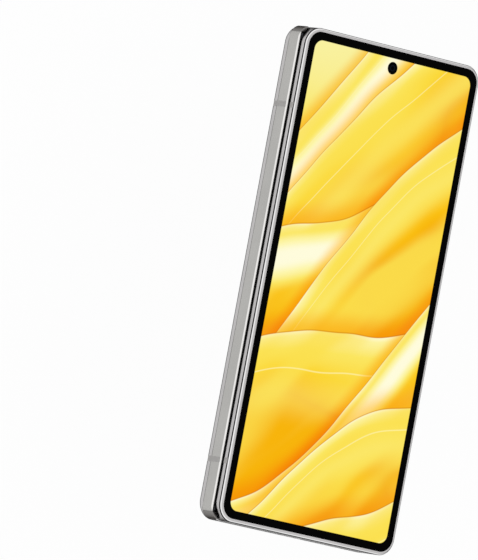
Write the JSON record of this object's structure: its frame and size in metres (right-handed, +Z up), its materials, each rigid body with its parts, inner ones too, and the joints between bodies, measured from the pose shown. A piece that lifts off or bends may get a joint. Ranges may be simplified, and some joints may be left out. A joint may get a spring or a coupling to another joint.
{
  "type": "foldable smartphone",
  "caption": "Slim phone that folds like a book: silver frame, outer screen, rear camera island, geared spine hinge, folding inner screen, side keys and a card tray.",
  "frame": {"origin": "bottom centre of the closed phone, which lies on its rear cameras with the outer screen up", "axes": "+X from the hinge spine to the open edge with the keys, +Y along the phone to its top edge, +Z up through the thickness to the outer screen"},
  "size_m": [0.0738, 0.1584, 0.0136],
  "materials": {
    "frame_metal": "polished and satin silver",
    "lens_ring_metal": "turned and polished",
    "back_glass": "satin, silver coated behind",
    "screen_glass": "clear and polished over a black border",
    "lens_glass": "dark, coated",
    "screen_panel": "lit screen",
    "black_plastic": "fine matte",
    "antenna_plastic": "matte grey",
    "flash_plastic": "clear over warm white",
    "hinge_steel": "machined",
    "dark_metal": "black coat",
    "battery_wrap": "dark film",
    "board": "solder mask",
    "copper": "wound copper"
  },
  "bodies": {
    "rear_half": {"rear_frame": "frame_metal", "rear_glass": "back_glass", "camera_island": "frame_metal", "lens_ring_top": "lens_ring_metal", "lens_ring_middle": "lens_ring_metal", "lens_ring_bottom": "lens_ring_metal", "lens_glass_top": "lens_glass", "lens_glass_middle": "lens_glass", "lens_glass_bottom": "lens_glass", "camera_module_top": "black_plastic", "camera_module_middle": "black_plastic", "camera_module_bottom": "black_plastic", "flash_lens": "flash_plastic", "flash_led": "flash_plastic", "rear_battery": "battery_wrap", "charging_coil": "copper", "main_board": "board", "shield_cans": "hinge_steel", "usb_shell": "hinge_steel", "usb_tongue": "black_plastic", "loudspeaker": "black_plastic", "vibration_motor": "hinge_steel", "card_reader": "hinge_steel", "rear_antenna_bands": "antenna_plastic", "inner_screen_rear": "screen_panel", "rear_bezel": "black_plastic", "inner_camera": "black_plastic", "rear_hinge_gears": "hinge_steel", "rear_arm_screws": "hinge_steel"},
    "spine": {"spine_cover": "frame_metal", "spine_end_caps": "frame_metal", "spine_antenna_marks": "antenna_plastic", "hinge_chassis": "dark_metal", "hinge_plates": "hinge_steel", "rear_hinge_pins": "hinge_steel", "cover_hinge_pins": "hinge_steel", "screen_fold": "screen_panel"},
    "cover_half": {"cover_frame": "frame_metal", "cover_glass": "screen_glass", "cover_screen": "screen_panel", "cover_camera": "black_plastic", "cover_battery": "battery_wrap", "cover_board": "board", "cover_chips": "hinge_steel", "earpiece": "black_plastic", "key_switches": "copper", "cover_antenna_bands": "antenna_plastic", "inner_screen_cover": "screen_panel", "cover_bezel": "black_plastic", "cover_hinge_gears": "hinge_steel", "cover_arm_screws": "hinge_steel"},
    "volume_key": {"volume_key": "frame_metal"},
    "power_key": {"power_key": "frame_metal"},
    "card_tray": {"card_tray": "frame_metal"}
  },
  "joints": [
    {"name": "rear_hinge", "type": "hinge", "parent": "spine", "child": "rear_half", "pos_m": [-0.03505, 0, 0.0067], "axis": [0, 1, 0], "range_deg": [0, 90], "deforming": ["screen_fold"]},
    {"name": "cover_hinge", "type": "hinge", "parent": "spine", "child": "cover_half", "pos_m": [-0.03505, 0, 0.0092], "axis": [0, -1, 0], "range_deg": [0, 90], "deforming": ["screen_fold"]},
    {"name": "volume_press", "type": "slide", "parent": "cover_half", "child": "volume_key", "axis": [-1, 0, 0], "range_m": [0, 0.00025], "stiffness_N_per_m": 8000},
    {"name": "power_press", "type": "slide", "parent": "cover_half", "child": "power_key", "axis": [-1, 0, 0], "range_m": [0, 0.00025], "stiffness_N_per_m": 8000},
    {"name": "tray_slide", "type": "slide", "parent": "rear_half", "child": "card_tray", "axis": [0, -1, 0], "range_m": [0, 0.016]}
  ],
  "couplings": [
    {"joint": "cover_hinge", "follows": "rear_hinge", "ratio": 1}
  ]
}
